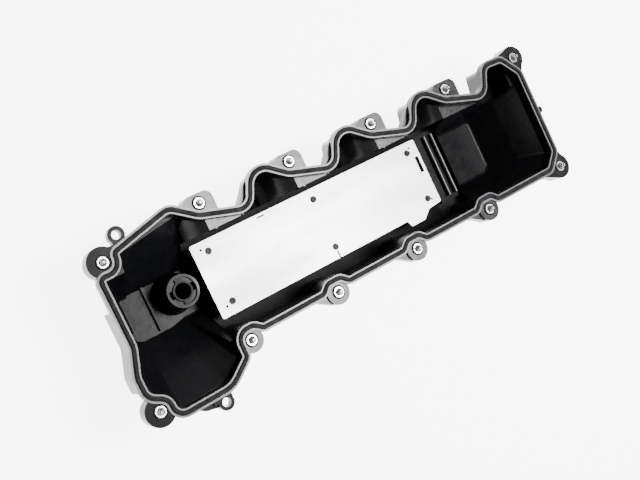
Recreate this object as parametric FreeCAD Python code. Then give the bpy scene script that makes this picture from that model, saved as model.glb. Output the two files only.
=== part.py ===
"""Cylinder head cover, open side up: X along the cylinder bank, +Y the scalloped side, +Z out of the open side.

Millimetres. Every shape is drawn with the sealing flange at z = 0 and x = 0 at the middle bolt of the
upper row, and is moved at the end so that the origin is the bottom centre of the whole part's box.
"""
import FreeCAD, Part
import math
import os

V = FreeCAD.Vector
UP = V(0, 0, 1)

# Bolts: cylinder spacing 100, M6 captive bolts in steel sleeves and rubber grommets.
BOLT_PITCH = 100.0
UPPER_BOLT_Y = 66.8
LOWER_BOLT_Y = -66.8
LOWER_BOLT_X = -11.7
UPPER_BOLTS = [(n * BOLT_PITCH, UPPER_BOLT_Y) for n in (-2, -1, 0, 1, 2)]
LOWER_BOLTS = [(LOWER_BOLT_X + n * BOLT_PITCH, LOWER_BOLT_Y) for n in (-2, -1, 0, 1)]
LEFT_TOP_BOLT = (-302.5, 54.9)
LEFT_LOW_BOLT = (-314.8, -83.2)
RIGHT_LOW_BOLT = (197.8, -63.1)
BOLTS = [LEFT_TOP_BOLT] + UPPER_BOLTS + [LEFT_LOW_BOLT] + LOWER_BOLTS + [RIGHT_LOW_BOLT]
BOLT_HOLE_R = 6.8
SLEEVE_R = 5.3
SLEEVE_BORE_R = 3.25
SLEEVE_LENGTH = 23.0
SHANK_R = 2.5
THREAD_R = 3.0
THREAD_START = 0.6
THREAD_END = 3.0
DOG_R = 2.1
DOG_TIP = 5.2
HEAD_GAP = 9.0

# Rim: the gasket runs on one centreline all round.
RIM_HALF = 4.25
WALL = 3.0
GROOVE_HALF = 2.3
GROOVE_DEPTH = 5.0
GASKET_HALF = 2.1
BEAD_HALF = 0.9
BEAD_PROUD = 0.8
FLANGE_THICK = 8.0
EAR_TOP = -1.5
EAR_BOTTOM = -20.0
LAND_CHAMFER = 0.5
FLOOR_R = 3.5

# Depths of the cavity below the flange.
SHALLOW_DEPTH = 6.0
SKIRT_DEPTH = 12.0
SKIRT_X = (-219.5, 90.0)
POCKET_DEPTH = 44.0
POCKET_RUN = (26.0, 93.0)
POCKET_HEAD = -7.0
POCKET_LEAD = 6.0
POCKET_OVERLAP = 5.0
POCKET_SPAN = 60.0
POCKET_KNEE = -16.0
LAST_POCKET_END = 190.0
SHELF_X = 43.0
SHELF_Z = -14.0
FIRST_VALLEY_X = -157.1
BOX_DEPTH = 50.0
LEFT_DEPTH = 65.0
RIGHT_DEPTH = 78.0
REST_PLANE = -85.0
BOX_X = (-222.0, 92.0)
BOX_TOP_Y = 40.0

# Oil filler tube and cap.
FILLER = (-242.0, 0.3)
TUBE_TOP = -26.0
TUBE_R = 15.8
TUBE_BASE_R = 20.8
TUBE_BORE_R = 13.4
BAYONET_BORE_R = 10.0
BAYONET_TOP = -28.5
BAYONET_THICK = 4.0
NECK_BOTTOM = -71.0
STEM_R = 9.6
CAP_TOP = -72.6
CAP_BOTTOM = -82.0
CAP_R = 26.0

# Oil baffle plate over the breather chamber.
PLATE_TOP = -30.0
PLATE_THICK = 1.2
PLATE_X = (-218.0, 56.6)
PLATE_Y = (-41.2, 34.0)
SCREW_X = (-202.0, -79.7, 42.6)
SCREW_Y = (-29.3, 23.1)
POST_R = 4.6
PILOT_R = 1.65

# Crankcase ventilation valve on the outer deck.
PCV = (-20.0, -5.0)
PCV_WALL_R = 16.0
PCV_BORE_R = 12.0
PCV_WALL_END = -72.0
PCV_LID_END = -80.0
SPIGOT_Z = -64.0
SPIGOT_R = 6.5
SPIGOT_BORE_R = 4.5
TAIL_LENGTH = 23.0

# Loom ears outside the rim, and the four bosses the cover stands on.
HARNESS_TOP = (-280.0, 72.2)
HARNESS_LOW = (-256.8, -106.1)
HARNESS_HOLE_R = 4.25
REST_BOSSES = [((-283, -21), -LEFT_DEPTH), ((-283, 13), -LEFT_DEPTH), ((152, -28), -RIGHT_DEPTH),
               ((152, 14), -RIGHT_DEPTH)]
RIB_HEIGHT = 1.5


def rounded_wire(corners, z=0.0):
    """Closed wire through the corners (x, y, r), each rounded with a tangent arc of radius r."""
    ends = []
    count = len(corners)
    for n, (x, y, r) in enumerate(corners):
        here = V(x, y, z)
        back = V(corners[n - 1][0], corners[n - 1][1], z) - here
        ahead = V(corners[(n + 1) % count][0], corners[(n + 1) % count][1], z) - here
        back.normalize()
        ahead.normalize()
        half = back.getAngle(ahead) / 2
        reach = r / math.tan(half)
        middle = back + ahead
        middle.normalize()
        mid = here + middle * (r / math.sin(half) - r)
        ends.append((here + back * reach, mid, here + ahead * reach))
    edges = []
    for n in range(count):
        start, mid, end = ends[n]
        edges.append(Part.Arc(start, mid, end).toShape())
        edges.append(Part.LineSegment(end, ends[(n + 1) % count][0]).toShape())
    return Part.Wire(edges)


def slab(x0, x1, y0, y1, z0, z1):
    return Part.makeBox(x1 - x0, y1 - y0, z1 - z0, V(x0, y0, z0))


def cylinder(centre, r, z0, z1):
    return Part.makeCylinder(r, z1 - z0, V(centre[0], centre[1], z0), UP)


def cone(centre, r0, r1, z0, z1):
    return Part.makeCone(r0, r1, z1 - z0, V(centre[0], centre[1], z0), UP)


def prism(wire, z_top, z_bottom):
    face = Part.Face(wire)
    solid = face.extrude(V(0, 0, z_bottom - z_top))
    solid.translate(V(0, 0, z_top))
    return solid


def plan_prism(corners, z_top, z_bottom):
    return prism(rounded_wire(corners), z_top, z_bottom)


def tapered(top, bottom, z_top, z_bottom, grow):
    """Ruled solid between two rounded outlines with the same number of corners, grown by a wall."""
    wires = [rounded_wire(top, z_top), rounded_wire(bottom, z_bottom)]
    if grow:
        wires = [wire.makeOffset2D(grow) for wire in wires]
    return Part.makeLoft(wires, True, True)


def rounded_bottom(solid, z, radius):
    """Round the edges that lie in the plane z."""
    edges = [e for e in solid.Edges if abs(e.BoundBox.ZMin - z) < 0.01 and abs(e.BoundBox.ZMax - z) < 0.01]
    return solid.makeFillet(radius, edges)


def join(shapes):
    """Union with coplanar faces merged."""
    return shapes[0].multiFuse(shapes[1:]).removeSplitter()


def union(shapes):
    """Union that keeps every seam, for the shell, whose merged faces the kernel can't close."""
    return shapes[0].multiFuse(shapes[1:])


# ---------------------------------------------------------------- rim

def scallop(valley_x):
    """One period of the upper rim, walked from right to left: bend, apex, valley."""
    return [(valley_x + 51.8, 56.6, 20), (valley_x + 19.6, 80.7, 17), (valley_x, 42.6, 14)]


def bolt_bulge(x):
    """The lower rim steps inward round each bolt."""
    return [(x - 15.5, -61.8, 7), (x - 7.5, -54.6, 9), (x + 7.5, -54.6, 9), (x + 15.5, -61.8, 7)]


def centreline():
    """Gasket centreline: down the left side, along the lower side, up the right, back by the scallops."""
    left = [(-290.5, 58.6, 5), (-290.5, 42.9, 11.4), (-311.5, 42.9, 5), (-311.5, -22.5, 20),
            (-320.3, -48, 12), (-320.3, -67.35, 12), (-303.8, -76.9, 11), (-303.8, -95.3, 11)]
    lower = [(-247, -95.3, 26), (-222.7, -78, 6), (-222.7, -55.2, 11.4), (-204.2, -55.2, 9), (-196.2, -61.8, 7)]
    for x, _ in LOWER_BOLTS[1:]:
        lower += bolt_bulge(x)
    right = [(183.2, -61.8, 8), (199.3, -45.7, 8), (199.3, 50, 10), (182.5, 71.2, 9), (157.9, 72, 12),
             (142.9, 42.6, 14)]
    upper = []
    for n in (2, 1, 0):
        upper += scallop(FIRST_VALLEY_X + n * BOLT_PITCH)
    upper += [(-205.3, 56.6, 20), (-229, 74, 12)]
    return rounded_wire(left + lower + right + upper)


CENTRE = centreline()


def rim_wire(offset):
    return CENTRE.makeOffset2D(offset) if offset else CENTRE


def rim_prism(offset, z_top, z_bottom):
    return prism(rim_wire(offset), z_top, z_bottom)


def lifted(wire, z):
    copy = wire.copy()
    copy.translate(V(0, 0, z))
    return copy


def rim_band(half, z_top, z_bottom):
    return rim_prism(half, z_top, z_bottom).cut(rim_prism(-half, z_top + 1, z_bottom - 1))


# ---------------------------------------------------------------- chambers

def left_chamber(grow):
    """Deep chamber round the filler tube: main well, lower bulge and upper shoulder."""
    z_top = -SKIRT_DEPTH
    z_low = -LEFT_DEPTH - grow
    well = tapered([(-307.3, 39, 6), (-307.3, -60, 8), (-218, -60, 8), (-218, 39, 6)],
                   [(-293, 18, 5), (-293, -26, 5), (-218, -26, 5), (-218, 18, 5)], z_top, z_low, grow)
    bulge = tapered([(-307.3, -24, 4), (-316, -48, 8), (-316, -62, 8), (-298.5, -90.5, 10), (-251, -90.5, 14),
                     (-227, -74, 5), (-227, -24, 4)],
                    [(-292, -16, 1), (-293, -20, 1), (-292, -25, 1), (-286, -28, 2), (-256, -28, 2),
                     (-243, -25, 1), (-240, -16, 1)], z_top, z_low, grow)
    shoulder = tapered([(-287, 30, 3), (-285.5, 55.5, 4), (-222, 66, 4), (-222, 30, 3)],
                       [(-284, 6, 2), (-283, 18, 2), (-222, 18, 2), (-222, 6, 2)], z_top, z_low, grow)
    return [rounded_bottom(well, z_low, FLOOR_R + grow), bulge, shoulder]


def right_chamber(grow):
    """Deepest chamber at the right end, with sloping walls and clipped corners by the end bolts."""
    z_low = -RIGHT_DEPTH - grow
    well = tapered([(88, 39.8, 4), (88, -57.4, 4), (181.6, -57.4, 4), (195, -44, 5), (195, 39.8, 4)],
                   [(98, 25, 6), (98, -39, 6), (158, -39, 6), (166, -32, 6), (166, 25, 6)], -SKIRT_DEPTH, z_low, grow)
    return [rounded_bottom(well, z_low, FLOOR_R + grow)]


def skirts(offset, grow, z_top, z_bottom):
    """Straight part of the wall round the two deep chambers, bounded by the rim."""
    whole = rim_prism(offset, z_top, z_bottom)
    left = slab(-340, SKIRT_X[0] + grow, -110, 90, z_bottom - 1, z_top + 1)
    right = slab(SKIRT_X[1] - grow, 210, -90, 90, z_bottom - 1, z_top + 1)
    return [whole.common(left), whole.common(right)]


def pocket_profile(valley_x, grow, shelved):
    """Side view of the scoop under one scallop: slanting in from the valley, deep under the apex, then a shelf."""
    low = -POCKET_DEPTH - grow
    left = valley_x - POCKET_LEAD - grow
    knee = V(left, 0, POCKET_KNEE - grow / 2)
    foot = V(valley_x + POCKET_RUN[0] + grow / 3, 0, low)
    if shelved:
        right = valley_x + POCKET_RUN[1] + grow
        head = V(right, 0, POCKET_HEAD - grow)
        rise = Part.Arc(foot, V(valley_x + SHELF_X, 0, SHELF_Z - grow), head).toShape()
    else:
        right = LAST_POCKET_END + grow
        head = V(right, 0, low)
        rise = Part.LineSegment(foot, head).toShape()
    corners = [head, V(right, 0, 3), V(left, 0, 3), knee, foot]
    edges = [rise] + [Part.LineSegment(a, b).toShape() for a, b in zip(corners, corners[1:])]
    solid = Part.Face(Part.Wire(edges)).extrude(V(0, POCKET_SPAN + grow, 0))
    solid.translate(V(0, BOX_TOP_Y - POCKET_OVERLAP - 1 - grow, 0))
    return solid


def pockets(offset, grow):
    """Scoops under every scallop, bounded by the rim; the last one keeps its full depth to the right wall."""
    scoops = [pocket_profile(FIRST_VALLEY_X + n * BOLT_PITCH, grow, n < 3) for n in range(-1, 4)]
    bounded = rim_prism(offset, 1 if grow == 0 else 0, -90)
    low_y = BOX_TOP_Y - POCKET_OVERLAP - grow
    bounded = bounded.common(slab(BOX_X[0] - grow, LAST_POCKET_END + 1 + grow, low_y, 90, -90, 2))
    return bounded.common(join(scoops))


def cavity():
    """Tools that hollow the shell, cut one after the other."""
    box = rim_prism(-RIM_HALF, 1, -BOX_DEPTH).common(slab(BOX_X[0], BOX_X[1], -90, BOX_TOP_Y, -90, 2))
    low = lifted(rim_wire(-RIM_HALF), -LAND_CHAMFER)
    high = lifted(rim_wire(-RIM_HALF + 2 * LAND_CHAMFER), LAND_CHAMFER)
    chamfer = Part.makeLoft([low, high], True, True)
    tools = [rim_prism(-RIM_HALF, 1, -SHALLOW_DEPTH), chamfer, pockets(-RIM_HALF, 0), box]
    tools += skirts(-RIM_HALF, 0, 1, -SKIRT_DEPTH - 0.2)
    return tools + left_chamber(0.0) + right_chamber(0.0)


def outer_body():
    skin = WALL - RIM_HALF
    box = rim_prism(skin, 0, -BOX_DEPTH - WALL)
    box = box.common(slab(BOX_X[0] - WALL, BOX_X[1] + WALL, -90, BOX_TOP_Y + WALL, -90, 0))
    parts = [rim_prism(RIM_HALF, 0, -FLANGE_THICK), rim_prism(skin, 0, -SHALLOW_DEPTH - WALL), pockets(skin, WALL), box]
    parts += skirts(skin, WALL, 0, -SKIRT_DEPTH - WALL)
    return parts + left_chamber(WALL) + right_chamber(WALL)


# ---------------------------------------------------------------- ears and bosses

def ears():
    """Bolt ears outside the rim, with their webs."""
    shapes = []
    for x, y in UPPER_BOLTS[:-1]:
        shapes.append(plan_prism([(x - 15, y + 9.2, 8), (x - 15, 58, 2), (x + 4, 48, 3), (x + 15, 48, 2),
                                  (x + 15.5, y + 9.2, 8)], EAR_TOP, EAR_BOTTOM))
    for x, y in LOWER_BOLTS:
        shapes.append(cylinder((x, y), 12.2, EAR_BOTTOM, EAR_TOP))
        shapes.append(plan_prism([(x - 29, -64, 1), (x - 9, y - 9.4, 3), (x + 9, -64, 2)], EAR_TOP - 2.5, EAR_BOTTOM + 6))
    shapes.append(cylinder(LEFT_TOP_BOLT, 14.5, EAR_BOTTOM, EAR_TOP))
    shapes.append(cylinder(LEFT_LOW_BOLT, 14.2, EAR_BOTTOM, EAR_TOP))
    shapes.append(plan_prism([(-300, 66, 3), (-270, 64, 2), (-284, 56, 2), (-300, 56, 2)], EAR_TOP, EAR_BOTTOM + 8))
    x, y = UPPER_BOLTS[-1]
    shapes.append(cylinder((x, y), 13.4, EAR_BOTTOM, EAR_TOP))
    shapes.append(plan_prism([(172, 73, 2), (x - 4, y + 12.4, 5), (x + 12.6, y - 3, 5), (201, 44, 2), (186, 60, 3)],
                             EAR_TOP, EAR_BOTTOM + 6))
    x, y = RIGHT_LOW_BOLT
    shapes.append(cylinder((x, y), 13.2, EAR_BOTTOM, EAR_TOP))
    shapes.append(plan_prism([(168, -64, 2), (x - 4, y - 12.6, 5), (x + 12.6, y + 2, 5), (201, -42, 2), (186, -56, 3)],
                             EAR_TOP, EAR_BOTTOM + 6))
    for n in range(3):
        valley = FIRST_VALLEY_X + n * BOLT_PITCH
        shapes.append(plan_prism([(valley - 9, 49, 1), (valley + 7, 67, 4), (valley + 16, 71, 2), (valley + 10, 50, 2)],
                                 EAR_TOP - 3, EAR_BOTTOM + 6))
    return shapes


def harness_ears():
    """Two loom ears set lower than the flange, and the peg on the right end."""
    top = [cylinder(HARNESS_TOP, 8, -15, -6), slab(-286.5, -273.5, 58, 72, -15, -6)]
    low = [cylinder(HARNESS_LOW, 7.6, -15, -6), slab(-268, -249, -104, -94, -15, -6)]
    web = plan_prism([(-288, -97, 1), (-262, -97, 1), (-262, -108, 3), (-276, -105, 3)], -9, -15)
    peg = Part.makeCylinder(4.0, 12, V(198, 2.5, -7), V(1, 0, 0))
    return top + low + [web, peg]


def left_curtain():
    """Thin wall that hangs from the rim outside the left chamber, held off it by three ribs."""
    face = RIM_HALF - 0.8
    top = 1 - FLANGE_THICK
    bottom = -36
    curtain = rim_prism(face, top, bottom).cut(rim_prism(face - 2.5, top + 1, bottom - 1))
    shapes = [curtain.common(slab(-330, -300, -62, 12, bottom - 1, 0))]
    for y in (10.8, -24, -60.8):
        rib = rim_prism(face - 0.5, top, bottom + 2).common(slab(-330, -300, y - 1.2, y + 1.2, bottom, 0))
        shapes.append(rib)
    return shapes


def filler_neck():
    """Solid of the filler tube inside the chamber and its neck below the deck."""
    inside = cone(FILLER, TUBE_BASE_R, TUBE_R, -LEFT_DEPTH - 1, TUBE_TOP)
    below = cylinder(FILLER, TUBE_BASE_R, NECK_BOTTOM, -LEFT_DEPTH)
    return [inside, below]


def filler_bore():
    """Bore of the tube, with the bayonet ring and its two notches left standing near the top."""
    upper = cylinder(FILLER, TUBE_BORE_R, BAYONET_TOP, TUBE_TOP + 2)
    ring = cylinder(FILLER, BAYONET_BORE_R, BAYONET_TOP - BAYONET_THICK - 1, BAYONET_TOP + 1)
    lower = cylinder(FILLER, TUBE_BORE_R, NECK_BOTTOM - 2, BAYONET_TOP - BAYONET_THICK)
    reach = TUBE_BORE_R - 0.2
    notch = slab(FILLER[0] - reach, FILLER[0] + reach, FILLER[1] - 4, FILLER[1] + 4,
                 BAYONET_TOP - BAYONET_THICK - 1, BAYONET_TOP + 1)
    return join([upper, ring, lower, notch])


def inner_features():
    """Posts, ribs, ridges and ejector marks inside the cavity."""
    shapes = []
    for x in SCREW_X:
        for y in SCREW_Y:
            shapes.append(cone((x, y), POST_R + 1, POST_R, -BOX_DEPTH - 1, PLATE_TOP - PLATE_THICK))
    shapes.append(slab(66, 91.5, -43, 35.5, -BOX_DEPTH - 1, -44))
    for x in (77.5, 87.0):
        rail = Part.makeCylinder(2.2, 69, V(x, -38, -41.5), V(0, 1, 0))
        shapes += [rail, slab(x - 2.2, x + 2.2, -38, 31, -45, -41.5)]
    shapes.append(slab(-268.5, -266, -26, 19, -LEFT_DEPTH - 1, -LEFT_DEPTH + 4))
    shapes.append(cylinder((-282.1, -12.5), 7, -LEFT_DEPTH - 1, -LEFT_DEPTH + 0.4))
    shapes.append(cylinder((143.9, -17.8), 8, -RIGHT_DEPTH - 1, -RIGHT_DEPTH + 0.4))
    for n in range(3):
        x = -92 + (n - 1) * BOLT_PITCH
        shapes.append(slab(x - 1.2, x + 1.2, BOX_TOP_Y - 1, 50, -30, -9))
    return shapes


def deck_features():
    """Outside of the deck: rest bosses, stiffening ribs and the ventilation valve's cup."""
    shapes = [cone(place, 7, 9, REST_PLANE, top) for place, top in REST_BOSSES]
    deck = -BOX_DEPTH - WALL
    for n in range(7):
        x = -200 + n * 42
        shapes.append(slab(x - 1, x + 1, -52, 42, deck - RIB_HEIGHT, deck + 1))
    for y in (-46, 36):
        shapes.append(slab(-222, 92, y - 1, y + 1, deck - RIB_HEIGHT, deck + 1))
    shapes.append(cylinder(PCV, PCV_WALL_R, PCV_WALL_END, deck + 1))
    return shapes


def valve_bore():
    """Bore of the valve's cup, with a seat ring left round the passage to the breather chamber."""
    deck = -BOX_DEPTH - WALL
    bore = cylinder(PCV, PCV_BORE_R, PCV_WALL_END - 1, deck)
    seat = cylinder(PCV, 7, -56.6, deck + 1)
    passage = cylinder(PCV, 5, -57, -BOX_DEPTH + 1)
    side = Part.makeCylinder(SPIGOT_R, 8, V(PCV[0], PCV[1] - PCV_BORE_R + 2, SPIGOT_Z), V(0, -1, 0))
    return join([bore.cut(seat), passage, side])


def cover_shell():
    solid = union(outer_body() + ears() + harness_ears() + left_curtain() + deck_features())
    for tool in cavity():
        solid = solid.cut(tool)
    solid = union([solid] + inner_features() + filler_neck())
    holes = [cylinder(bolt, BOLT_HOLE_R, EAR_BOTTOM - 2, 2) for bolt in BOLTS]
    holes += [cylinder(place, HARNESS_HOLE_R, -20, 0) for place in (HARNESS_TOP, HARNESS_LOW)]
    holes += [cylinder((x, y), PILOT_R, -46, PLATE_TOP) for x in SCREW_X for y in SCREW_Y]
    for tool in holes + [rim_band(GROOVE_HALF, 1, -GROOVE_DEPTH), filler_bore(), valve_bore()]:
        solid = solid.cut(tool)
    return solid


# ---------------------------------------------------------------- small parts

def perimeter_gasket():
    body = rim_band(GASKET_HALF, -0.5, -GROOVE_DEPTH)
    bead = rim_band(BEAD_HALF, BEAD_PROUD, -0.6)
    return join([body, bead])


def baffle_plate():
    x0, x1 = PLATE_X
    y0, y1 = PLATE_Y
    outline = [(x0, y1, 2), (x0, y0, 2), (9, y0, 1), (11, -48, 2.5), (29, -48, 2.5), (39, y0 + 1.5, 3),
               (x1, y0 + 3, 2), (x1, y1, 2)]
    plate = plan_prism(outline, PLATE_TOP, PLATE_TOP - PLATE_THICK)
    low, high = PLATE_TOP - 3, PLATE_TOP + 1
    cuts = [cylinder((x, y), 2.0, low, high) for x in SCREW_X for y in SCREW_Y]
    cuts += [cylinder(place, 1.3, low, high) for place in ((-208.6, 26.8), (47.3, 27.3), (-209, -31.9), (47.3, -31.9))]
    cuts += [slab(-143.2, -135, 30.1, 31.7, low, high), slab(49, 53.5, -1.8, 15.9, low, high),
             slab(-80.6, -78.8, y0 - 1, -33.5, low, high)]
    for tool in cuts:
        plate = plate.cut(tool)
    return plate


def baffle_screws():
    """Six pan-head screws with a driver recess."""
    shapes = []
    for x in SCREW_X:
        for y in SCREW_Y:
            head = cone((x, y), 3.5, 2.6, PLATE_TOP, PLATE_TOP + 2.2)
            shank = cylinder((x, y), 1.6, -44, PLATE_TOP + 0.1)
            recess = cylinder((x, y), 1.3, PLATE_TOP + 1.1, PLATE_TOP + 3)
            shapes.append(join([head, shank]).cut(recess))
    return Part.makeCompound(shapes)


def separator_insert():
    """Oil separator under the plate: a thin tray with vanes that stand from alternate sides."""
    floor = -BOX_DEPTH + 0.1
    tray = slab(-190, 32, -22, 16, floor, floor + 1.6)
    shapes = [tray]
    for n in range(11):
        x = -182 + n * 21
        low, high = (-22, 8) if n % 2 else (-14, 16)
        shapes.append(slab(x - 0.8, x + 0.8, low, high, floor, floor + 15))
    solid = join(shapes)
    return solid.cut(cylinder(PCV, 9, floor - 1, floor + 3))


def limiter_sleeves():
    shapes = []
    for bolt in BOLTS:
        tube = cylinder(bolt, SLEEVE_R, -SLEEVE_LENGTH, 0)
        foot = cylinder(bolt, 8.0, -SLEEVE_LENGTH, -SLEEVE_LENGTH + 1.4)
        shapes.append(join([tube, foot]).cut(cylinder(bolt, SLEEVE_BORE_R, -SLEEVE_LENGTH - 1, 1)))
    return Part.makeCompound(shapes)


def bolt_grommets():
    """Rubber isolators between sleeve and ear, with a lip below the ear."""
    shapes = []
    for bolt in BOLTS:
        body = cylinder(bolt, BOLT_HOLE_R - 0.05, EAR_BOTTOM - 1.5, -2.6)
        lip = cylinder(bolt, 8.6, EAR_BOTTOM - 1.5, EAR_BOTTOM - 0.02)
        shapes.append(join([body, lip]).cut(cylinder(bolt, SLEEVE_R + 0.05, -30, 1)))
    return Part.makeCompound(shapes)


def hex_head(centre, across, z0, z1):
    radius = across / math.sqrt(3)
    points = [V(centre[0] + radius * math.cos(math.radians(60 * n)),
                centre[1] + radius * math.sin(math.radians(60 * n)), z0) for n in range(7)]
    return Part.Face(Part.makePolygon(points)).extrude(V(0, 0, z1 - z0))


def cover_bolt(centre):
    """Flange-head M6 bolt with a dog point, backed out of its sleeve as it sits before fitting."""
    seat = -SLEEVE_LENGTH - HEAD_GAP
    washer = cone(centre, 7.4, 5.8, seat - 2.2, seat)
    head = hex_head(centre, 10, seat - 6.6, seat - 2.0)
    shank = cylinder(centre, SHANK_R, seat - 1, THREAD_END)
    thread = cylinder(centre, THREAD_R, THREAD_START, THREAD_END)
    chamfer = cone(centre, THREAD_R, DOG_R, THREAD_END, THREAD_END + 0.9)
    dog = cylinder(centre, DOG_R, THREAD_END, DOG_TIP - 0.4)
    point = cone(centre, DOG_R, DOG_R - 0.4, DOG_TIP - 0.4, DOG_TIP)
    washer.rotate(V(centre[0], centre[1], seat - 1.1), V(1, 0, 0), 180)
    return join([washer, head, shank, thread, chamfer, dog, point])


def oil_filler_cap():
    """Quarter-turn cap: grip disc below the deck, hollow stem and two lugs over the bayonet ring."""
    stem_top = BAYONET_TOP + 2.3
    disc = cylinder(FILLER, CAP_R, CAP_BOTTOM + 4, CAP_TOP)
    grip = slab(FILLER[0] - 22, FILLER[0] + 22, FILLER[1] - 5, FILLER[1] + 5, CAP_BOTTOM, CAP_TOP - 2)
    stem = cylinder(FILLER, STEM_R, CAP_TOP - 1, stem_top)
    lugs = slab(FILLER[0] - 3.5, FILLER[0] + 3.5, FILLER[1] - 12.9, FILLER[1] + 12.9, BAYONET_TOP + 0.3, stem_top)
    lugs = lugs.common(cylinder(FILLER, 12.9, BAYONET_TOP, stem_top))
    solid = join([disc, grip, stem, lugs])
    for n in range(24):
        angle = math.radians(15 * n)
        flute = (FILLER[0] + (CAP_R + 0.8) * math.cos(angle), FILLER[1] + (CAP_R + 0.8) * math.sin(angle))
        solid = solid.cut(cylinder(flute, 1.8, CAP_BOTTOM - 1, CAP_TOP + 1))
    return solid.cut(cylinder(FILLER, STEM_R - 1.8, stem_top - 30, stem_top + 1))


def filler_cap_seal():
    ring = Part.makeTorus(17.0, 0.65, V(FILLER[0], FILLER[1], CAP_TOP + 0.65), UP)
    return ring


def pcv_plunger():
    """Cup-shaped plunger that the spring holds against the seat."""
    cup = cylinder(PCV, PCV_BORE_R - 0.4, -66, -56.9)
    cup = cup.cut(cylinder(PCV, 9.4, -67, -59))
    return join([cup, cone(PCV, 4.4, 3, -57.1, -54)])


def pcv_spring():
    """Four-coil return spring between the plunger and the lid."""
    height = 16.9
    turns = 4
    radius = 7.6
    base = V(PCV[0], PCV[1], -76.8)
    helix = Part.makeHelix(height / turns, height, radius)
    helix.translate(base)
    profile = Part.Wire(Part.makeCircle(0.6, base + V(radius, 0, 0), V(0, 1, 0)))
    return Part.Wire(helix.Edges).makePipeShell([profile], True, True)


def pcv_lid():
    cap = cylinder(PCV, 19, PCV_LID_END, PCV_WALL_END + 6)
    cap = cap.cut(cylinder(PCV, PCV_WALL_R + 0.05, PCV_WALL_END, PCV_WALL_END + 7))
    cap = cap.cut(cylinder(PCV, PCV_BORE_R, -77.5, PCV_WALL_END + 1))
    for n in range(16):
        angle = math.radians(22.5 * n)
        flute = (PCV[0] + 20 * math.cos(angle), PCV[1] + 20 * math.sin(angle))
        cap = cap.cut(cylinder(flute, 2, PCV_LID_END - 1, -73))
    window = slab(PCV[0] - 9, PCV[0] + 9, PCV[1] - 22, PCV[1] - 10, PCV_WALL_END, PCV_WALL_END + 8)
    return cap.cut(window)


def breather_spigot():
    """Hose tail pressed into the side of the valve's cup; a clip holds the hose on it."""
    start = V(PCV[0], PCV[1] - PCV_BORE_R - 0.6, SPIGOT_Z)
    ahead = V(0, -1, 0)
    tube = Part.makeCylinder(SPIGOT_R - 0.05, 6, start, ahead)
    collar = Part.makeCylinder(SPIGOT_R + 1.1, 2, start + ahead * 5, ahead)
    tail = Part.makeCylinder(SPIGOT_R, TAIL_LENGTH, start + ahead * 7, ahead)
    tip = Part.makeCone(SPIGOT_R, SPIGOT_R - 1, 2, start + ahead * (7 + TAIL_LENGTH), ahead)
    bore = Part.makeCylinder(SPIGOT_BORE_R, 40, start - ahead, ahead)
    return join([tube, collar, tail, tip]).cut(bore)


def main():
    nodes = {
        "cover_shell": cover_shell(),
        "perimeter_gasket": perimeter_gasket(),
        "baffle_plate": baffle_plate(),
        "baffle_screws": baffle_screws(),
        "separator_insert": separator_insert(),
        "limiter_sleeves": limiter_sleeves(),
        "bolt_grommets": bolt_grommets(),
        "oil_filler_cap": oil_filler_cap(),
        "filler_cap_seal": filler_cap_seal(),
        "pcv_plunger": pcv_plunger(),
        "pcv_spring": pcv_spring(),
        "pcv_lid": pcv_lid(),
        "breather_spigot": breather_spigot(),
    }
    for n, bolt in enumerate(BOLTS, start=1):
        nodes["cover_bolt_%02d" % n] = cover_bolt(bolt)
    box = Part.makeCompound(list(nodes.values())).optimalBoundingBox(False)
    shift = V(-box.Center.x, -box.Center.y, -box.ZMin)
    os.makedirs("parts", exist_ok=True)
    for name, shape in nodes.items():
        shape.translate(shift)
        shape.exportStep("parts/%s.step" % name)
        print(name, len(shape.Solids), shape.isValid(), round(shape.Volume / 1000, 2))
    print("origin shift", [round(v, 4) for v in shift], "size", box.XLength, box.YLength, box.ZLength)


main()
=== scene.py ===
import math

import bpy
import mathutils
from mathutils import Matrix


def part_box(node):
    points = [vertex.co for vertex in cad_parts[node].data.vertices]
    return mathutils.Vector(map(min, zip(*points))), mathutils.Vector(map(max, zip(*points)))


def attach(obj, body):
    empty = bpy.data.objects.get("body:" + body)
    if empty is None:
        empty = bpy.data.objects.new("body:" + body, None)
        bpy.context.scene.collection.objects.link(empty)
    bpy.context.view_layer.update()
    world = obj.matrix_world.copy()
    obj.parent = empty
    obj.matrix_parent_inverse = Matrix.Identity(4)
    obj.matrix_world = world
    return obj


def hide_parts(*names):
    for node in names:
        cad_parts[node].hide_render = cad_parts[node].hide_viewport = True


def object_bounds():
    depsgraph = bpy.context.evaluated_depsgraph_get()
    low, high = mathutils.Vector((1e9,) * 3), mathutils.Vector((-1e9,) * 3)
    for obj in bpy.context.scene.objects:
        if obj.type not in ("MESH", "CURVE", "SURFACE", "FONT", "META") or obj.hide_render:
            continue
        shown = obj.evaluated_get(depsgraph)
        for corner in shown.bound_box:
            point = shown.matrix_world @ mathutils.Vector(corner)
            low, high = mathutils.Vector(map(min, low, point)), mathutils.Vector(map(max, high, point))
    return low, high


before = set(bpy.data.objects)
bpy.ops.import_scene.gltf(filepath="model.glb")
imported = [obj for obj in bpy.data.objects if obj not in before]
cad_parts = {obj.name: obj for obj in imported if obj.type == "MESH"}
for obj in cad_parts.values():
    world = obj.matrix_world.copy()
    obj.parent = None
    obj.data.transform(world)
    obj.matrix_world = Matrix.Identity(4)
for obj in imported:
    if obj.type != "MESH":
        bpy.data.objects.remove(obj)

MM = 0.001
Vector = mathutils.Vector
CAD_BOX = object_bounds()


def middle(node):
    low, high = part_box(node)
    return (Vector(low) + Vector(high)) / 2


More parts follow.
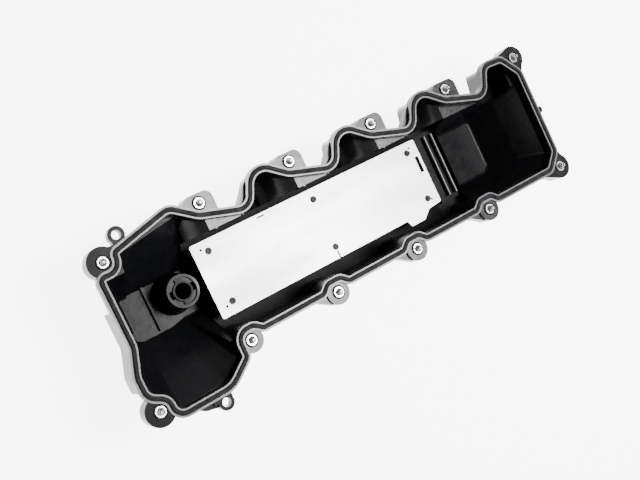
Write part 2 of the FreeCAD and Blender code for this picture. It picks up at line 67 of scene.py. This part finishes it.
# Landmarks of the frame: the flange plane, where the sleeves end, and the middle bolt of the upper row.
# DATUM is on the flange plane, level with that bolt along X and midway between the two bolt rows along Y.
BOLT_COUNT = 12
BOLT_ROW_Y = 66.8 * MM
FLANGE_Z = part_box("limiter_sleeves")[1][2]
MIDDLE_BOLT = middle("cover_bolt_04")
DATUM = Vector((MIDDLE_BOLT.x, MIDDLE_BOLT.y - BOLT_ROW_Y, FLANGE_Z))


# ---------------------------------------------------------------- camera, floor and lights

# The camera stands above the left end and looks down and along the cover. Its place is from DATUM.
CAMERA_PLACE = Vector((-478.24, 46.47, 789.52)) * MM
CAMERA_RIGHT = Vector((0.80432, -0.42860, 0.41155))
CAMERA_UP = Vector((0.41520, 0.90086, 0.12674))
CAMERA_FORWARD = Vector((0.42507, -0.06894, -0.90253))
LENS = 51.3
SENSOR_WIDTH = 36.0
NEAR_CLIP = 0.01

FLOOR_HALF = 6.0
FLOOR_GAP = 0.2 * MM
FLOOR_GLOW = 6.0
AMBIENT = 0.3

# Name, place, size and power of each area light. They all face the middle of the cover.
LIGHTS = (
    ("overhead", (0.48, -0.05, 1.5), (0.6, 0.75), 55),
    ("front_strip", (-0.1, -2.0, 0.8), (2.2, 0.6), 10),
    ("back_strip", (-0.1, 2.0, 0.8), (2.2, 0.6), 10),
    ("left_strip", (-2.1, 0.1, 0.7), (0.6, 1.6), 8),
    ("right_strip", (2.2, 0.0, 0.6), (0.6, 1.6), 8),
)


def make_camera():
    data = bpy.data.cameras.new("camera")
    data.lens = LENS
    data.sensor_width = SENSOR_WIDTH
    data.clip_start = NEAR_CLIP
    camera = bpy.data.objects.new("camera", data)
    bpy.context.scene.collection.objects.link(camera)
    axes = mathutils.Matrix((CAMERA_RIGHT, CAMERA_UP, -CAMERA_FORWARD)).transposed()
    camera.matrix_world = mathutils.Matrix.Translation(DATUM + CAMERA_PLACE) @ axes.to_4x4()
    bpy.context.scene.camera = camera


def area_light(name, place, size, power):
    data = bpy.data.lights.new(name, "AREA")
    data.shape = "RECTANGLE"
    data.size, data.size_y = size
    data.energy = power
    light = bpy.data.objects.new(name, data)
    bpy.context.scene.collection.objects.link(light)
    light.location = place
    light.rotation_euler = (-Vector(place)).to_track_quat("-Z", "Y").to_euler()


def make_lights():
    for light in LIGHTS:
        area_light(*light)
    world = bpy.data.worlds.new("studio")
    world.use_nodes = True
    background = world.node_tree.nodes["Background"]
    background.inputs["Color"].default_value = (1, 1, 1, 1)
    background.inputs["Strength"].default_value = AMBIENT
    bpy.context.scene.world = world


def make_floor():
    """Pale paper just under the cover. Its glow lifts the paper to the near white of the backdrop."""
    mesh = bpy.data.meshes.new("floor")
    half = FLOOR_HALF
    z = CAD_BOX[0][2] - FLOOR_GAP
    corners = [(-half, -half, z), (half, -half, z), (half, half, z), (-half, half, z)]
    mesh.from_pydata(corners, [], [(0, 1, 2, 3)])
    floor = bpy.data.objects.new("floor", mesh)
    bpy.context.scene.collection.objects.link(floor)
    mat = Material("floor_paper", (0.93, 0.93, 0.93), 0.9)
    mat.mottle((0.95, 0.95, 0.95), scale=4, detail=3)
    mat.shader.inputs["Emission Color"].default_value = (1, 1, 1, 1)
    mat.shader.inputs["Emission Strength"].default_value = FLOOR_GLOW
    mesh.materials.append(mat.result)


# ---------------------------------------------------------------- materials

# Specular level of the shell: on the rim and shallow ledges, on its sides, where painted shade dims it on
# deep level faces and at the left end, and in the painted shade under the plate.
CLEAN_SPECULAR = 0.38
SIDE_SPECULAR = 0.16
SHADE_PAINTED_SPECULAR = 0.07
SHADED_SPECULAR = 0.015

# Where the shell's painted highlight and painted shade change, in millimetres: heights from the flange,
# then places along X from DATUM.
HIGHLIGHT_LAND_SPAN = (-0.5, -0.1)
GLOSSY_LAND = (-1.2, -0.6)
SHALLOW_LEDGES = (-44.0, -40.5)
ABOVE_CHAMBER_FLOORS = (-46.0, -40.0)
RIGHT_OF_LEFT_END = (-232.0, -222.0)
PLATE_START = (-224.0, -220.0)
PLATE_END = (62.0, 66.0)

# Z of the surface normal: any upward slope, a half-level face, and a level one.
SLOPES_UP = (0.04, 0.12)
HALF_LEVEL = (0.2, 0.7)
LEVEL = (0.8, 0.98)

LAND_HIGHLIGHT_TINT = (0.14, 0.145, 0.15)
NOISE_ROUGHNESS = 0.55


class Material:
    """A Principled material whose colour, roughness and bump are built up by layers."""

    def __init__(self, name, colour, roughness, metallic=0.0, specular=0.5):
        self.result = bpy.data.materials.new(name)
        self.result.use_nodes = True
        self.nodes = self.result.node_tree.nodes
        self.links = self.result.node_tree.links
        self.shader = self.nodes["Principled BSDF"]
        self.shader.inputs["Base Color"].default_value = (*colour, 1)
        self.shader.inputs["Roughness"].default_value = roughness
        self.shader.inputs["Metallic"].default_value = metallic
        self.shader.inputs["Specular IOR Level"].default_value = specular
        self.place = self.nodes.new("ShaderNodeTexCoord").outputs["Object"]
        self.colour = (*colour, 1)
        self.height = None

    def noise(self, scale, detail=4, stretch=(1, 1, 1)):
        mapping = self.nodes.new("ShaderNodeMapping")
        mapping.inputs["Scale"].default_value = stretch
        self.links.new(self.place, mapping.inputs["Vector"])
        node = self.nodes.new("ShaderNodeTexNoise")
        node.inputs["Scale"].default_value = scale
        node.inputs["Detail"].default_value = detail
        node.inputs["Roughness"].default_value = NOISE_ROUGHNESS
        self.links.new(mapping.outputs["Vector"], node.inputs["Vector"])
        return node.outputs["Fac"]

    def ramp(self, value, low, high, out_low=0.0, out_high=1.0):
        """Smooth step from out_low to out_high while the value goes from low to high."""
        node = self.nodes.new("ShaderNodeMapRange")
        node.interpolation_type = "SMOOTHSTEP"
        node.inputs["From Min"].default_value = low
        node.inputs["From Max"].default_value = high
        node.inputs["To Min"].default_value = out_low
        node.inputs["To Max"].default_value = out_high
        self.links.new(value, node.inputs["Value"])
        return node.outputs["Result"]

    def math(self, operation, a, b):
        node = self.nodes.new("ShaderNodeMath")
        node.operation = operation
        for socket, value in zip(node.inputs, (a, b)):
            if isinstance(value, (int, float)):
                socket.default_value = value
            else:
                self.links.new(value, socket)
        return node.outputs["Value"]

    def both(self, a, b):
        return self.math("MULTIPLY", a, b)

    def either(self, a, b):
        return self.math("MAXIMUM", a, b)

    def outside(self, mask):
        return self.math("SUBTRACT", 1.0, mask)

    def tint(self, mask, colour):
        """Lay another colour over the present one where the mask is 1."""
        mix = self.nodes.new("ShaderNodeMix")
        mix.data_type = "RGBA"
        self.links.new(mask, mix.inputs["Factor"])
        if isinstance(self.colour, tuple):
            mix.inputs["A"].default_value = self.colour
        else:
            self.links.new(self.colour, mix.inputs["A"])
        mix.inputs["B"].default_value = (*colour, 1)
        self.colour = mix.outputs["Result"]
        self.links.new(self.colour, self.shader.inputs["Base Color"])

    def mottle(self, colour, scale, detail=4, low=0.4, high=0.65, stretch=(1, 1, 1)):
        self.tint(self.ramp(self.noise(scale, detail, stretch=stretch), low, high), colour)

    def uneven_gloss(self, low, high, scale, stretch=(1, 1, 1)):
        value = self.ramp(self.noise(scale, 5, stretch=stretch), 0.3, 0.7, low, high)
        self.links.new(value, self.shader.inputs["Roughness"])

    def bump(self, height, strength, distance):
        node = self.nodes.new("ShaderNodeBump")
        node.inputs["Strength"].default_value = strength
        node.inputs["Distance"].default_value = distance
        self.links.new(height, node.inputs["Height"])
        if self.height is not None:
            self.links.new(self.height, node.inputs["Normal"])
        self.height = node.outputs["Normal"]
        self.links.new(self.height, self.shader.inputs["Normal"])

    def above(self, span):
        """Mask that rises from 0 to 1 between two heights from the flange."""
        split = self.nodes.new("ShaderNodeSeparateXYZ")
        self.links.new(self.place, split.inputs["Vector"])
        return self.ramp(split.outputs["Z"], FLANGE_Z + span[0] * MM, FLANGE_Z + span[1] * MM)

    def right_of(self, span):
        """Mask that rises from 0 to 1 between two places along X from DATUM."""
        split = self.nodes.new("ShaderNodeSeparateXYZ")
        self.links.new(self.place, split.inputs["Vector"])
        return self.ramp(split.outputs["X"], DATUM.x + span[0] * MM, DATUM.x + span[1] * MM)

    def facing_up(self, span=LEVEL):
        """Mask that rises from 0 to 1 as the surface turns up."""
        geometry = self.nodes.new("ShaderNodeNewGeometry")
        split = self.nodes.new("ShaderNodeSeparateXYZ")
        self.links.new(geometry.outputs["Normal"], split.inputs["Vector"])
        return self.ramp(split.outputs["Z"], *span)


def moulded_nylon():
    """Glass-filled nylon: black, semi-gloss, faint flow marks, a fine grain, and a painted highlight on
    the flange land.

    Level faces lose most of their shine at the left end and in the deep chambers, and nearly all of it
    under the plate. This is painted shade: it dims floors that would otherwise mirror the overhead
    light.
    """
    mat = Material("black_nylon", (0.004, 0.0042, 0.005), 0.3)
    mat.mottle((0.006, 0.0062, 0.007), 22, 6, 0.3, 0.8)
    mat.mottle((0.0025, 0.0026, 0.003), 140, 3, 0.4, 0.85)
    mat.uneven_gloss(0.22, 0.3, 90)
    # Painted highlight: the top face of the flange land is tinted paler, in patches set by noise.
    land = mat.both(mat.above(HIGHLIGHT_LAND_SPAN), mat.facing_up())
    painted_land_highlight = mat.both(land, mat.ramp(mat.noise(90, 4), 0.2, 0.6, 0.55, 1.0))
    mat.tint(painted_land_highlight, LAND_HIGHLIGHT_TINT)

    # Painted shade: level faces below the shallow ledges, and those left of the left-end mark, drop to a
    # low specular level. The rim top keeps its shine.
    upright = mat.outside(mat.facing_up(SLOPES_UP))
    shallow = mat.either(upright, mat.above(SHALLOW_LEDGES))
    shine = mat.both(shallow, mat.either(mat.right_of(RIGHT_OF_LEFT_END), mat.above(GLOSSY_LAND)))
    clean = mat.ramp(mat.facing_up(HALF_LEVEL), 0.0, 1.0, SIDE_SPECULAR, CLEAN_SPECULAR)
    gain = mat.both(shine, mat.math("SUBTRACT", clean, SHADE_PAINTED_SPECULAR))
    specular = mat.math("ADD", gain, SHADE_PAINTED_SPECULAR)

    # Painted shade: level chamber floors under the plate lose nearly all of their specular level.
    under_plate = mat.both(mat.right_of(PLATE_START), mat.outside(mat.right_of(PLATE_END)))
    chamber_floor = mat.outside(mat.above(ABOVE_CHAMBER_FLOORS))
    shaded = mat.both(mat.facing_up(), mat.both(under_plate, chamber_floor))
    dimmed = mat.both(specular, mat.ramp(shaded, 0.0, 1.0, 1.0, SHADED_SPECULAR / SHADE_PAINTED_SPECULAR))
    mat.links.new(dimmed, mat.shader.inputs["Specular IOR Level"])
    mat.bump(mat.noise(2600, 2), 0.18, 0.0001)
    mat.bump(mat.noise(160, 4), 0.12, 0.0003)
    return mat.result


def soft_rubber(name, colour, paler, roughness):
    """Dull rubber with paler dusty patches and a fine pimpled skin."""
    mat = Material(name, colour, roughness, specular=0.1)
    mat.mottle(paler, 260, 5)
    mat.uneven_gloss(roughness - 0.08, roughness + 0.12, 120)
    mat.bump(mat.noise(1500, 3), 0.25, 0.0002)
    return mat.result


def zinc_metal(name, colour, shade, roughness):
    """Plated steel with darker patches and uneven gloss."""
    mat = Material(name, colour, roughness, metallic=1.0)
    mat.mottle(shade, 180, 5)
    mat.uneven_gloss(roughness - 0.07, roughness + 0.12, 300)
    mat.bump(mat.noise(900, 3), 0.15, 0.0001)
    return mat.result


def plate_metal():
    """Bright rolled sheet with a lengthwise grain and faint oil smears."""
    mat = Material("plate_metal", (0.93, 0.935, 0.94), 0.42, metallic=0.35, specular=0.6)
    mat.mottle((0.88, 0.885, 0.89), 16, 5, 0.45, 0.8)
    mat.mottle((0.97, 0.97, 0.97), 500, 2, 0.4, 0.7, stretch=(0.04, 1, 1))
    mat.uneven_gloss(0.34, 0.5, 25, stretch=(0.3, 1, 1))
    mat.bump(mat.noise(900, 3, stretch=(0.03, 1, 1)), 0.08, 0.0001)
    return mat.result


def plain_plastic(name, colour, paler, roughness, specular=0.5):
    """Moulded plastic or blackened steel, slightly mottled, with a faint grain."""
    mat = Material(name, colour, roughness, specular=specular)
    mat.mottle(paler, 70, 5)
    mat.uneven_gloss(roughness - 0.06, roughness + 0.1, 90)
    mat.bump(mat.noise(1800, 2), 0.2, 0.0001)
    return mat.result


def dress(node, material):
    """Give a carried-over CAD node its finish."""
    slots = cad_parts[node].data.materials
    slots.clear()
    slots.append(material)


def dress_nodes():
    """Dress every CAD node, and hand back the finishes of the bolts and the sleeves."""
    bolt = zinc_metal("bolt_steel", (0.3, 0.3, 0.305), (0.18, 0.18, 0.185), 0.32)
    plastic = plain_plastic("insert_plastic", (0.03, 0.03, 0.032), (0.05, 0.05, 0.052), 0.45)
    cap = plain_plastic("cap_plastic", (0.006, 0.006, 0.007), (0.012, 0.012, 0.013), 0.38, 0.08)
    finishes = {
        "cover_shell": moulded_nylon(),
        "perimeter_gasket": soft_rubber("gasket_rubber", (0.008, 0.0083, 0.009),
                                        (0.016, 0.0165, 0.0175), 0.6),
        "baffle_plate": plate_metal(),
        "baffle_screws": plain_plastic("screw_steel", (0.01, 0.01, 0.011), (0.03, 0.03, 0.031),
                                       0.4, 0.12),
        "separator_insert": plastic,
        "limiter_sleeves": zinc_metal("zinc_steel", (0.8, 0.8, 0.81), (0.6, 0.6, 0.61), 0.24),
        "bolt_grommets": soft_rubber("grommet_rubber", (0.008, 0.008, 0.009),
                                     (0.016, 0.016, 0.017), 0.6),
        "oil_filler_cap": cap,
        "filler_cap_seal": soft_rubber("seal_rubber", (0.012, 0.012, 0.013), (0.02, 0.02, 0.021), 0.5),
        "pcv_plunger": plastic,
        "pcv_spring": zinc_metal("spring_steel", (0.55, 0.55, 0.57), (0.4, 0.4, 0.42), 0.3),
        "pcv_lid": cap,
        "breather_spigot": plastic,
    }
    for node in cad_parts:
        dress(node, finishes.get(node, bolt))
    return bolt, finishes["limiter_sleeves"]


# ---------------------------------------------------------------- turned pieces

# Millimetres and degrees. Profiles are (radius, height from the flange), and in HEX_HEAD the radius is
# where the corners are cut off. THREAD_FLAT is above 1, so that the thread has a flat crest.
SIDES = 36
ROWS_PER_TURN = 8
SHARP_ANGLE = 32
THREAD_PITCH = 1.0
THREAD_ROOT = 2.45
THREAD_CREST = 3.0
THREAD_FLAT = 1.35
THREAD_SPAN = (-12.0, 3.4)
HEX_ACROSS = 10.0
HEX_CORNERS = 6

HEX_HEAD = ((4.7, -38.6), (5.0, -38.35), (5.77, -37.9), (5.77, -34.2))
WASHER_AND_SHANK = ((7.0, -34.1), (7.35, -33.8), (7.4, -32.3), (7.2, -32.0), (2.9, -32.0), (2.5, -31.5),
                    (2.5, -12.2))
DOG_POINT = ((2.1, 3.7), (2.1, 4.75), (1.95, 5.05), (1.6, 5.2), (1.25, 5.1), (1.1, 4.75))
SLEEVE = ((3.6, 0.0), (5.0, 0.0), (5.3, -0.3), (5.3, -21.3), (5.6, -21.6), (7.8, -21.6), (8.0, -21.8),
          (8.0, -22.8), (7.8, -23.0), (3.6, -23.0), (3.25, -22.65), (3.25, -0.35))


def rings_to_mesh(name, groups, material):
    """Mesh of closed surfaces.

    Each group is a list of equal rings of points, and whether the last ring joins the first. A group
    that isn't looped gets a flat cap at both ends.
    """
    points, faces = [], []
    for rings, looped in groups:
        first = len(points)
        count = len(rings[0])
        for one in rings:
            points.extend(one)
        total = len(rings)
        for n in range(total if looped else total - 1):
            here = first + n * count
            ahead = first + (n + 1) % total * count
            for k in range(count):
                after = (k + 1) % count
                faces.append((here + k, here + after, ahead + after, ahead + k))
        if not looped:
            faces.append(tuple(range(first + count - 1, first - 1, -1)))
            faces.append(tuple(range(first + (total - 1) * count, first + total * count)))
    mesh = bpy.data.meshes.new(name)
    mesh.from_pydata(points, [], faces)
    mesh.materials.append(material)
    mesh.polygons.foreach_set("use_smooth", [len(face) == 4 for face in faces])
    mesh.set_sharp_from_angle(angle=math.radians(SHARP_ANGLE))
    return mesh


def add_piece(name, mesh, place, body, node):
    """Place a mesh on its body, in place of a CAD node."""
    piece = bpy.data.objects.new(name, mesh)
    bpy.context.scene.collection.objects.link(piece)
    piece.location = place
    bpy.context.view_layer.update()
    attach(piece, body)
    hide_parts(node)


def ring(radius, z, centre=(0.0, 0.0)):
    """One ring of points in metres; radius is a number or a function of the angle."""
    points = []
    for k in range(SIDES):
        angle = 2 * math.pi * k / SIDES
        r = radius(angle) if callable(radius) else radius
        x = centre[0] + r * MM * math.cos(angle)
        y = centre[1] + r * MM * math.sin(angle)
        points.append((x, y, z * MM))
    return points


def turned(profile, centre=(0.0, 0.0)):
    """Rings of a turned profile."""
    return [ring(r, z, centre) for r, z in profile]


def thread_rings(z_low, z_high):
    """Helical thread that fades out over one turn at both ends."""
    rings = []
    steps = round((z_high - z_low) / THREAD_PITCH * ROWS_PER_TURN)
    for n in range(steps + 1):
        z = z_low + (z_high - z_low) * n / steps
        fade = min(1.0, (z_high - z) / THREAD_PITCH, (z - z_low) / THREAD_PITCH)

        def radius(angle, z=z, fade=fade):
            phase = (z / THREAD_PITCH - angle / (2 * math.pi)) % 1.0
            crest = min(1.0, THREAD_FLAT * (1 - abs(2 * phase - 1)))
            return THREAD_ROOT + (THREAD_CREST - THREAD_ROOT) * crest * fade

        rings.append(ring(radius, z))
    return rings


def hexagon(limit):
    """Radius of a hexagon at each angle, with its corners turned down to the limit."""
    def radius(angle):
        turn = math.radians(360 / HEX_CORNERS)
        return min(limit, HEX_ACROSS / 2 / math.cos(angle % turn - turn / 2))
    return radius


def bolt_mesh(material):
    """Captive bolt: chamfered hexagon, washer face, waisted shank, thread, dog point."""
    rings = [ring(hexagon(limit), z) for limit, z in HEX_HEAD]
    rings += turned(WASHER_AND_SHANK)
    rings += thread_rings(*THREAD_SPAN)
    rings += turned(DOG_POINT)
    return rings_to_mesh("captive_bolt", [(rings, False)], material)


def sleeve_mesh(centres, material):
    """Turned steel sleeves with chamfered ends and a foot flange, all in one mesh."""
    groups = [(turned(SLEEVE, centre), True) for centre in centres]
    return rings_to_mesh("turned_sleeves", groups, material)


def add_bolts_and_sleeves(bolt_finish, sleeve_finish):
    """Threaded bolts on their own bodies, and the row of sleeves on the cover."""
    mesh = bolt_mesh(bolt_finish)
    centres = []
    for n in range(1, BOLT_COUNT + 1):
        bolt = middle("cover_bolt_%02d" % n)
        centres.append((bolt.x - DATUM.x, bolt.y - DATUM.y))
        add_piece("threaded_bolt_%02d" % n, mesh, (bolt.x, bolt.y, FLANGE_Z), "bolt_%02d" % n,
                  "cover_bolt_%02d" % n)
    sleeves = sleeve_mesh(centres, sleeve_finish)
    add_piece("turned_sleeves", sleeves, DATUM, "cover", "limiter_sleeves")


make_camera()
make_lights()
make_floor()
add_bolts_and_sleeves(*dress_nodes())
